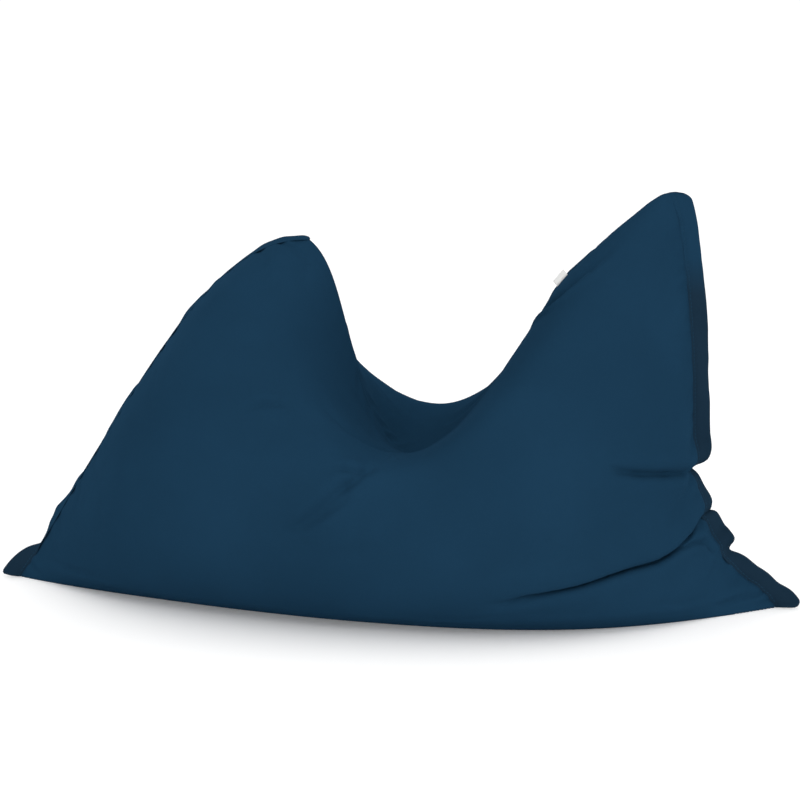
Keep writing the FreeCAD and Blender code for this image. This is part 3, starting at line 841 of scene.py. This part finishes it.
def open_zip_window(obj, radius, height, half_length, slit_half):
    """Cuts the zip's window out of a back panel, and the seam slit beside it when it has one."""
    end_turn = half_length / radius
    with edited(obj.data) as work:
        for step in [WINDOW_HALF_HEIGHT] + ([slit_half] if slit_half else []):
            for side in (-1, 1):
                cut_at(work, (0, 0, height + side * step), (0, 0, 1))
        for side in (-1, 1):
            normal = (math.cos(end_turn), -side * math.sin(end_turn), 0)
            cut_at(work, (0, BELLY_AXIS_Y, 0), normal)
        gone = []
        for face in work.faces:
            centre = face.calc_center_median()
            turn = math.atan2(centre.x, centre.y - BELLY_AXIS_Y)
            rise = abs(centre.z - height)
            in_window = abs(turn) < end_turn and rise < WINDOW_HALF_HEIGHT
            if (in_window and centre.y > BACK_START) or rise < slit_half:
                gone.append(face)
        bmesh.ops.delete(work, geom=gone, context="FACES")


def split_above(obj, height, name):
    """Keeps the faces above height in obj and returns a new object with those below."""
    below = obj.data.copy()
    below.name = name
    for mesh, sign in ((obj.data, 1), (below, -1)):
        with edited(mesh) as work:
            gone = [f for f in work.faces if sign * (f.calc_center_median().z - height) < 0]
            bmesh.ops.delete(work, geom=gone, context="FACES")
    return link(bpy.data.objects.new(name, below))


front_panel = grid_object("cover_front_cloth", front, False)
back_panel = grid_object("cover_back_cloth", back, True)
open_zip_window(back_panel, BELLY_RADIUS, ZIP_HEIGHT, ZIP_HALF, SLIT_HALF)
back_hem = split_above(back_panel, ZIP_HEIGHT, "cover_back_hem_cloth")
for piece, node in ((front_panel, "cover_front_panel"), (back_panel, "cover_back_panel"),
                    (back_hem, "cover_back_hem")):
    add_wall(piece, COVER_WALL)
    dress_piece(piece, cover_cloth, replaced=[node])

# ---- hem flanges ----

FLANGE_WIDTH = 27 * MM
# How far the flange leans back, degrees, by height in mm; 0 is flat in the seam plane
RIGHT_LEAN = [(0, -25), (12, -8), (23, 8), (33, 18), (43, 12), (57, 22), (70, 52), (81, 80),
              (88, 60), (99, 22), (107, 8), (115, 34), (130, 40), (140, 46), (147, 74),
              (168, 60), (187, 68), (207, 80), (222, 92), (232, 66), (249, 38), (268, 20),
              (309, 14), (367, 17), (429, 20), (483, 14), (540, 17), (595, 12), (660, 18)]
LEFT_LEAN = [(0, -30), (12, -12), (28, 18), (42, 50), (58, 88), (68, 78), (85, 72), (108, 73),
             (128, 78), (143, 84), (158, 80), (172, 78), (196, 84), (240, 79), (300, 84),
             (360, 80), (430, 85), (500, 80), (560, 84), (660, 86)]
END_ROUNDING = 20 * MM
END_SHARE = 0.35          # the hem's width at its top end, as a share
FOOT_ROUNDING = 11 * MM
# Per side: the hem's width at its very foot, as a share, and how much it widens just above
FOOT_SHAPE = {-1: (0.45, 0.0), 1: (0.8, 0.42)}
FOOT_EXTRA, NEAR_FOOT = 0.25, 42 * MM   # the hem is up to this much wider, this near its foot
SPREAD_AT, SPREAD_REACH = 14 * MM, 12 * MM
FOOT_TURN = 45 * MM       # the flange's corner turns level below this height
TIP_REACH = 22 * MM
TIP_LEVEL = {-1: 0.0, 1: 0.8}   # per side: how far the flange turns level at its top end
# Across the hem, from inside the seam (-0.2) to the folded edge (1): half thickness, with a dip
# along the stitch line
HEM_ACROSS = np.array([-0.2, 0, 0.04, 0.10, 0.16, 0.28, 0.42, 0.56, 0.70, 0.84, 0.93, 0.98, 1.0])
HEM_HALF = np.array([0.4, 1.2, 0.9, 0.55, 0.9, 1.2, 1.15, 1.1, 1.15, 1.25, 1.2, 0.8, 0.0]) * MM
STITCH_SECTIONS = (3, 2 * len(HEM_ACROSS) - 5)   # the dip, on the front and on the back face
SEAM_SMOOTHING = 12       # passes over the direction that the hem stands out in
RIPPLE = 0.9 * MM         # waviness of the hem's free edge
BEND = 0.25               # radians that the hem bends to and fro across its width
BEND_PITCH = 31 * MM


def smoothed(values, passes):
    for _ in range(passes):
        inner = values[1:-1] * 0.5 + (values[:-2] + values[2:]) * 0.25
        values = np.concatenate([values[:1], inner, values[-1:]])
    return values


def flange_sections(seam, side, leans):
    """Sections of the hem flange along a side seam: two layers of cloth with a folded edge."""
    count = len(seam)
    along = np.gradient(seam, axis=0)
    outward = np.stack([side * along[:, 2], np.zeros(count), -side * along[:, 0]], axis=1)
    outward = smoothed(unit_rows(outward), SEAM_SMOOTHING)
    level = 1 - smooth_step(seam[:, 2:3] / FOOT_TURN)
    outward = outward * (1 - level) + np.array([side * 1.0, 0, 0.12]) * level
    run = run_length(seam)
    tip_level = TIP_LEVEL[side] * bell((run[-1:] - run) / TIP_REACH)[:, None]
    outward = unit_rows(outward * (1 - tip_level) + np.array([side * 1.0, 0, 0]) * tip_level)
    lean = np.radians(smoothed(from_table(leans, seam[:, 2] / MM), 3))
    to_end = np.minimum(run[-1] - run, END_ROUNDING) / END_ROUNDING
    to_foot = np.minimum(run, FOOT_ROUNDING) / FOOT_ROUNDING
    near_foot = 1 - smooth_step(run / NEAR_FOOT)
    tip_share, foot_spread = FOOT_SHAPE[side]
    width = FLANGE_WIDTH * (END_SHARE + (1 - END_SHARE) * np.sqrt(1 - (1 - to_end) ** 2))
    width *= tip_share + (1 - tip_share) * np.sqrt(1 - (1 - to_foot) ** 2)
    width *= 1 + FOOT_EXTRA * near_foot + foot_spread * bell((run - SPREAD_AT) / SPREAD_REACH)
    back_way = np.array([0.0, 1.0, 0.0])
    sections = np.zeros((count, 2 * len(HEM_ACROSS) - 1, 3))
    rng = np.random.default_rng(SEED + 20 + side)
    ripple = smoothed(rng.normal(size=count), 14)
    ripple *= RIPPLE / ripple.std()
    for k in range(count):
        bend = BEND * math.sin(run[k] / BEND_PITCH)
        place = seam[k].copy()
        path = []
        normals = []
        for m, share in enumerate(HEM_ACROSS):
            angle = lean[k] + bend * max(share, 0)
            way = math.cos(angle) * outward[k] + math.sin(angle) * back_way
            before = HEM_ACROSS[m - 1] if m else 0
            place = place + way * (share - before) * width[k]
            path.append(place)
            normals.append(math.sin(angle) * outward[k] - math.cos(angle) * back_way)
        path = np.array(path)
        normals = np.array(normals)
        path += normals * (ripple[k] * HEM_ACROSS ** 2)[:, None]
        front_face = path + normals * HEM_HALF[:, None]
        back_face = path - normals * HEM_HALF[:, None]
        sections[k] = np.vstack([front_face, back_face[-2::-1]])
    return sections


def stitch_mesh(name, places, directions, length, radius):
    """A row of short raised stitches, each a small six-sided spindle."""
    rings = ((-0.5, 0.25), (-0.38, 0.85), (0.0, 1.0), (0.38, 0.85), (0.5, 0.25))
    vertices = []
    faces = []
    for place, direction in zip(places, directions):
        direction = direction / np.linalg.norm(direction)
        helper = np.array([0, 0, 1.0]) if abs(direction[2]) < 0.9 else np.array([1.0, 0, 0])
        one = np.cross(direction, helper)
        one /= np.linalg.norm(one)
        two = np.cross(direction, one)
        first = len(vertices)
        for step, size in rings:
            for k in range(6):
                turn = math.pi * k / 3
                vertices.append(place + direction * step * length
                                + (one * math.cos(turn) + two * math.sin(turn)) * radius * size)
        for r in range(len(rings) - 1):
            for k in range(6):
                a = first + r * 6 + k
                b = first + r * 6 + (k + 1) % 6
                faces.append((a, b, b + 6, a + 6))
        faces.append(tuple(first + k for k in range(5, -1, -1)))
        faces.append(tuple(first + (len(rings) - 1) * 6 + k for k in range(6)))
    return facing_out(mesh_object(name, vertices, faces))


def stitch_row(curve, pitch, start=0.0, end=0.0):
    """Evenly spaced places along a curve and the curve's direction at each."""
    at = np.arange(start + pitch / 2, run_length(curve)[-1] - end - pitch / 2, pitch)
    return points_at(curve, at), points_at(curve, at + 1 * MM) - points_at(curve, at - 1 * MM)


def stitch_curves(name, slot, curves, pitch, length, radius, **ends):
    """Rows of stitches along curves, as one piece."""
    rows = [stitch_row(curve, pitch, **ends) for curve in curves]
    places, directions = (np.concatenate(part) for part in zip(*rows))
    dress_piece(stitch_mesh(name, places, directions, length, radius), thread_material)


# Each flange's cloth carries painted shade: darker below a height, the cover's navy above.
for side, column, leans, cloth, name in ((-1, 0, LEFT_LEAN, left_hem_cloth, "left"),
                                         (1, -1, RIGHT_LEAN, hem_cloth, "right")):
    sections = flange_sections(front[column], side, leans)
    flange = tube_object(name + "_flange_cloth", sections)
    dress_piece(flange, cloth, replaced=[name + "_flange"])
    stitch_curves(name + "_flange_stitches", "hem_fabric",
                  [sections[:, m] for m in STITCH_SECTIONS], pitch=6 * MM, length=4.4 * MM,
                  radius=0.55 * MM, start=10 * MM, end=6 * MM)


# ---- pieces that follow the round back belly ----

def on_belly(radius, along, depth, height):
    """Point at a distance along the belly, a depth outward from radius, and a height."""
    turn = np.asarray(along) / radius
    reach = radius + np.asarray(depth)
    x, y, z = np.broadcast_arrays(reach * np.sin(turn), BELLY_AXIS_Y + reach * np.cos(turn),
                                  np.asarray(height, float))
    return np.stack([x, y, z], axis=-1)


def belly_span(node):
    """The ends of a CAD node along the belly."""
    turns = [math.atan2(v.co.x, v.co.y - BELLY_AXIS_Y) for v in frame["nodes"][node].data.vertices]
    return min(turns) * BELLY_RADIUS, max(turns) * BELLY_RADIUS


STRIP_EDGE = 0.5 * MM     # rounding of a strip's long edges
COIL_PITCH = 1.9 * MM
COIL_ENDS = 10.2 * MM     # from the window's end to the coil's first turn
COIL_MIDDLE = 2.3 * MM    # from the zip's middle line to the middle of each coil
COIL_HALF_DEPTH, COIL_HALF_HEIGHT = 1.0 * MM, 1.1 * MM
COIL_THREAD = 0.38 * MM   # radius
TAPE_NEAR, TAPE_FAR = 0.9 * MM, 14 * MM   # the tape's edges from the zip's middle line
ZIP_OVERLAP = 8 * MM      # the tapes run on this far beyond the window's ends
# Depths outward from the cloth's outer face
COIL_MIDDLE_DEPTH = -2.6 * MM
TAPE_DEPTHS = (-5 * MM, -4 * MM)
FACING_DEPTHS = (-7.9 * MM, -7.3 * MM)
CARE_LABEL_DEPTHS = (-7.4 * MM, -6.8 * MM)
GARAGE_DEPTHS = (0.2 * MM, 1.1 * MM)


def belly_strip(name, radius, ends, heights, depths, steps=160):
    """A thin woven strip along the belly with softly rounded edges."""
    along = np.linspace(ends[0], ends[1], steps)
    low, high = sorted(heights)
    inner, outer = depths
    soft = min(0.4 * (outer - inner), 0.3 * MM)
    across = [low + STRIP_EDGE] + [low + (high - low) * k / 8 for k in range(1, 8)]
    across += [high - STRIP_EDGE]
    loop = [(low, inner + soft), (low, outer - soft)] + [(height, outer) for height in across]
    loop += [(high, outer - soft), (high, inner + soft)]
    loop += [(height, inner) for height in across[::-1]]
    sections = np.stack([on_belly(radius, along, depth, height) for height, depth in loop], axis=1)
    return tube_object(name, sections)


def coil_strand(name, radius, height, side, half_length):
    """One side of a coil zip: a round thread wound along the tape's edge."""
    turns = int(2 * half_length / COIL_PITCH)
    per_turn = 10
    t = np.arange(turns * per_turn + 1) / per_turn
    along = -half_length + t * COIL_PITCH
    angle = t * 2 * math.pi
    centre_height = height + side * COIL_MIDDLE
    path = on_belly(radius, along, COIL_MIDDLE_DEPTH + COIL_HALF_DEPTH * np.cos(angle),
                    centre_height + COIL_HALF_HEIGHT * np.sin(angle))
    way = unit_rows(np.gradient(path, axis=0))
    outward = path - on_belly(radius, along, COIL_MIDDLE_DEPTH - 1e-6, centre_height)
    outward = unit_rows(outward - (outward * way).sum(1, keepdims=True) * way)
    beside = np.cross(way, outward)
    sections = np.stack([path + COIL_THREAD * (outward * math.cos(a) + beside * math.sin(a))
                         for a in (k * math.pi / 2.5 for k in range(5))], axis=1)
    return tube_object(name, sections)


def dress_zip(prefix, radius, height, half, tape_material, coil_material):
    """The tapes and coils of one zip."""
    for word, side in (("upper", 1), ("lower", -1)):
        strip = belly_strip(prefix + "tape_" + word + "_cloth", radius,
                            (-half - ZIP_OVERLAP, half + ZIP_OVERLAP),
                            (height + side * TAPE_NEAR, height + side * TAPE_FAR), TAPE_DEPTHS)
        dress_piece(strip, tape_material, replaced=[prefix + "tape_" + word])
        strand = coil_strand(prefix + "coil_" + word + "_wound", radius, height, side,
                             half - COIL_ENDS)
        dress_piece(strand, coil_material, replaced=[prefix + "coil_" + word])


dress_zip("zip_", BELLY_RADIUS, ZIP_HEIGHT, ZIP_HALF, tape_cloth, coil_plastic)
dress_zip("liner_zip_", LINER_RADIUS, LINER_ZIP_HEIGHT, LINER_ZIP_HALF,
          label_cloth, white_plastic)


def laid_on(curve, grid, lift):
    """A curve near the back belly moved in or out onto the grid's face, and lift above it."""
    reach = np.hypot(grid[..., 0], grid[..., 1] - BELLY_AXIS_Y)
    near = (grid[..., 1] > BACK_START) & (np.abs(grid[..., 2] - ZIP_HEIGHT) < 40 * MM)
    points, reaches = grid[near], reach[near]
    laid = curve.copy()
    for k, place in enumerate(curve):
        gap = ((points - place) ** 2).sum(1)
        closest = np.argpartition(gap, 4)[:4]
        weight = 1 / (gap[closest] + 1e-9)
        wanted = (reaches[closest] * weight).sum() / weight.sum() + lift
        flat = place[:2] - np.array([0, BELLY_AXIS_Y])
        laid[k, :2] = flat * wanted / np.linalg.norm(flat) + np.array([0, BELLY_AXIS_Y])
    return laid


# Topstitching round the zip's window
WINDOW_STITCH_GAP = 10 * MM
stitched_half = ZIP_HALF + 4 * MM
along = np.linspace(-stitched_half, stitched_half, 300)
rise = np.linspace(-WINDOW_STITCH_GAP, WINDOW_STITCH_GAP, 20)
window_curves = []
for side in (-1, 1):
    window_curves.append(on_belly(BELLY_RADIUS, along, 0, ZIP_HEIGHT + side * WINDOW_STITCH_GAP))
    window_curves.append(on_belly(BELLY_RADIUS, side * stitched_half, 0, ZIP_HEIGHT + rise))
stitch_curves("zip_window_stitches", "cover_fabric",
              [laid_on(curve, back, 0.2 * MM) for curve in window_curves],
              pitch=4.6 * MM, length=3.4 * MM, radius=0.4 * MM)

# A facing of the cover's cloth behind the zip, between it and the liner
FACING_HALF = 13 * MM
facing = belly_strip("zip_facing_cloth", BELLY_RADIUS, (-ZIP_HALF, ZIP_HALF),
                     (ZIP_HEIGHT - FACING_HALF, ZIP_HEIGHT + FACING_HALF), FACING_DEPTHS)
dress_piece(facing, tape_cloth)

# Garage patch over the closed end of the zip
garage_low, garage_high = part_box("zip_garage")
garage_ends = belly_span("zip_garage")
garage = belly_strip("zip_garage_cloth", BELLY_RADIUS, garage_ends,
                     (garage_low.z, garage_high.z), GARAGE_DEPTHS, steps=24)
# The patch takes the hem's cloth, and at this height all of it is in that cloth's darker painted
# shade.
dress_piece(garage, hem_cloth, replaced=["zip_garage"])
GARAGE_INSET = 2.2 * MM   # from the patch's edge to its stitches
left, right = garage_ends[0] + GARAGE_INSET, garage_ends[1] - GARAGE_INSET
low, high = garage_low.z + GARAGE_INSET, garage_high.z - GARAGE_INSET
corners = [(left, low), (right, low), (right, high), (left, high)]
share = np.linspace(0, 1, 20)
garage_curves = [on_belly(BELLY_RADIUS, start[0] + (stop[0] - start[0]) * share, 1.15 * MM,
                          start[1] + (stop[1] - start[1]) * share)
                 for start, stop in zip(corners, corners[1:] + corners[:1])]
stitch_curves("zip_garage_stitches", "hem_fabric", garage_curves,
              pitch=3.2 * MM, length=2.4 * MM, radius=0.4 * MM)

# Care label inside the cover, below the zip tape
care_low, care_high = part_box("care_label")
care = belly_strip("care_label_cloth", BELLY_RADIUS, belly_span("care_label"),
                   (care_low.z, care_high.z), CARE_LABEL_DEPTHS, steps=24)
dress_piece(care, label_cloth, replaced=["care_label"])

# ---- blank woven tab in the ear's seam: a loop of ribbon folded double ----

tab_vertices = np.array([v.co for v in frame["nodes"]["seam_label"].data.vertices])
tab_centre = (tab_vertices.max(0) + tab_vertices.min(0)) / 2
top_seam = front[:, -1]
nearest = int(np.argmin(np.linalg.norm(top_seam - tab_centre, axis=1)))
tab_way = top_seam[nearest + 3] - top_seam[nearest - 3]
tab_way /= np.linalg.norm(tab_way)
tab_up = np.array([-tab_way[2], 0, tab_way[0]])
TAB_LEAN = math.radians(48)
tab_out = tab_up * math.cos(TAB_LEAN) + np.array([0, math.sin(TAB_LEAN), 0])
tab_face = tab_up * math.sin(TAB_LEAN) - np.array([0, math.cos(TAB_LEAN), 0])
TAB_HALF = 12.5 * MM
TAB_REACH = 17.5 * MM
tab_profile = [(0, -0.55), (0.3, -0.5), (0.6, -0.5), (0.85, -0.6), (0.96, -0.5), (1.0, 0),
               (0.96, 0.5), (0.85, 0.6), (0.6, 0.5), (0.3, 0.5), (0, 0.55)]
tab_sections = np.array([[
    top_seam[nearest] + tab_way * TAB_HALF * s + tab_out * TAB_REACH * reach * (1 - 0.02 * s * s)
    - tab_face * (depth + 1.2 * reach * reach) * MM for reach, depth in tab_profile]
    for s in np.linspace(-1, 1, 21)])
tab = tube_object("seam_label_cloth", tab_sections)
dress_piece(tab, label_cloth, replaced=["seam_label"])

# ---- liner and beads, inside the cover ----

TIP_START = 500 * MM      # past this the liner and the beads draw back from the bag's thin tips
TIP_DRAW = 0.6            # share of the way that they draw back
LINER_WALL = 1.2 * MM
LINER_DEPTH, LINER_LIFT = 9.5 * MM, 4 * MM   # below the cover's cloth, and above the floor
BEAD_DEPTH, BEAD_LIFT = 18 * MM, 8 * MM
CLEAR_REACH = 26 * MM     # the inner layers keep clear of a crease this far to each side
SEAM_PLANE_GAP = 0.3 * MM


def inner_grids(depth, lift):
    """Front and back grids drawn in by depth, clear of the creases and of the bottom corners,
    and meeting in the seam plane."""
    draw = round(1.2 * depth / (4 * MM))
    pair = []
    for grid, plain, side, creases in ((front, plain_front, -1, FRONT_CREASES),
                                       (back, plain_back, 1, BACK_CREASES)):
        clear = np.full(grid.shape[:2], depth)
        for crease in creases:
            reach, strength, _, _ = near_line(plain, crease[0])
            pressed = 2 * crease[1] * MM * strength * bell(reach / CLEAR_REACH)
            clear = np.maximum(clear, depth + pressed)
        inner = (grid - grid_normals(grid, side) * clear[..., None])[draw:-draw, :-draw]
        for _ in range(6):
            middle = inner[1:-1, 1:-1]
            inner[1:-1, 1:-1] = middle * 0.4 + 0.15 * (inner[:-2, 1:-1] + inner[2:, 1:-1]
                                                       + inner[1:-1, :-2] + inner[1:-1, 2:])
        beyond = np.maximum(np.abs(inner[..., 0]) - TIP_START, 0)
        inner[..., 0] -= TIP_DRAW * beyond * np.sign(inner[..., 0])
        inner[..., 1] = side * np.maximum(side * inner[..., 1], SEAM_PLANE_GAP)
        inner[..., 2] = np.maximum(inner[..., 2], lift)
        pair.append(inner[::2, ::2])
    join_edges(*pair)
    return pair


liners = inner_grids(LINER_DEPTH, LINER_LIFT)
for grid, side, word in ((liners[0], -1, "front"), (liners[1], 1, "back")):
    layer = grid_object("liner_" + word + "_cloth", grid, side > 0)
    if side > 0:
        open_zip_window(layer, LINER_RADIUS, LINER_ZIP_HEIGHT, LINER_ZIP_HALF, 0)
    add_wall(layer, LINER_WALL)
    dress_piece(layer, liner_cloth, replaced=["liner_" + word + "_panel"])

bead_front, bead_back = inner_grids(BEAD_DEPTH, BEAD_LIFT)
half_count = bead_front.shape[0] * bead_front.shape[1]
bead_faces = grid_faces(*bead_front.shape[:2], False)
bead_faces += grid_faces(*bead_back.shape[:2], True, first=half_count)
filling = mesh_object("bead_mass", np.concatenate([bead_front.reshape(-1, 3),
                                                   bead_back.reshape(-1, 3)]), bead_faces)
with edited(filling.data) as work:
    rim = [v for v in work.verts if v.is_boundary]
    for vertex in rim:
        vertex.co.y = 0
    bmesh.ops.remove_doubles(work, verts=rim, dist=0.4 * MM)
dress_piece(facing_out(filling), beads, replaced=["bead_filling"])

# ---- hard zip parts: the CAD's own meshes ----

for prefix, parts, material, slot in (
        ("zip_", ("slider", "pull", "top_stops", "bottom_stop"), zip_metal, "zip_metal"),
        ("liner_zip_", ("slider", "top_stops", "bottom_stop"), white_plastic,
         "liner_zip_plastic")):
    for part in parts:
        obj = frame["nodes"][prefix + part]
        paint(obj, material)
        add_bevel(obj, (0.3 if "stop" in part else 0.25) * MM)

# ---- floor, light and camera ----

bpy.ops.mesh.primitive_plane_add(size=60, location=(0, 0, -0.5 * MM))
floor = bpy.context.object
floor.name = "floor"
floor_paint, _, floor_shader = new_material("floor_white", (0.95, 0.95, 0.95), 0.9,
                                            specular=0.1)
set_inputs(floor_shader, Emission_Color=(1, 1, 1, 1), Emission_Strength=0.12)
floor.data.materials.append(floor_paint)

world = bpy.data.worlds.new("studio")
bpy.context.scene.world = world
world.use_nodes = True
set_inputs(world.node_tree.nodes["Background"], Color=(1, 1, 1, 1), Strength=1.05)


def area_light(name, location, target, size, power):
    data = bpy.data.lights.new(name, "AREA")
    data.shape = "RECTANGLE"
    data.size, data.size_y = size
    data.energy = power
    light = link(bpy.data.objects.new(name, data))
    light.location = location
    light.rotation_euler = (Vector(target) - Vector(location)).to_track_quat("-Z", "Y").to_euler()


area_light("top_softbox", (0.3, -0.4, 3.0), (0, 0, 0), (3.5, 3.0), 5)
area_light("key_softbox", (1.8, -3.4, 1.7), (0, 0, 0.3), (2.2, 2.2), 42)

CAMERA_AZIMUTH = math.radians(9)
CAMERA_ELEVATION = math.radians(10)
CAMERA_DISTANCE = 3.6
CAMERA_TARGET = Vector((0.018, 0.0, 0.32))
camera_data = bpy.data.cameras.new("camera")
camera_data.lens = 100.1
camera_data.sensor_width = 36
camera_data.clip_end = 200
camera = link(bpy.data.objects.new("camera", camera_data))
back_from_target = Vector((math.sin(CAMERA_AZIMUTH) * math.cos(CAMERA_ELEVATION),
                           -math.cos(CAMERA_AZIMUTH) * math.cos(CAMERA_ELEVATION),
                           math.sin(CAMERA_ELEVATION)))
camera.location = CAMERA_TARGET + back_from_target * CAMERA_DISTANCE
camera.rotation_euler = (-back_from_target).to_track_quat("-Z", "Y").to_euler()
bpy.context.scene.camera = camera
bpy.context.scene.view_settings.view_transform = "Standard"
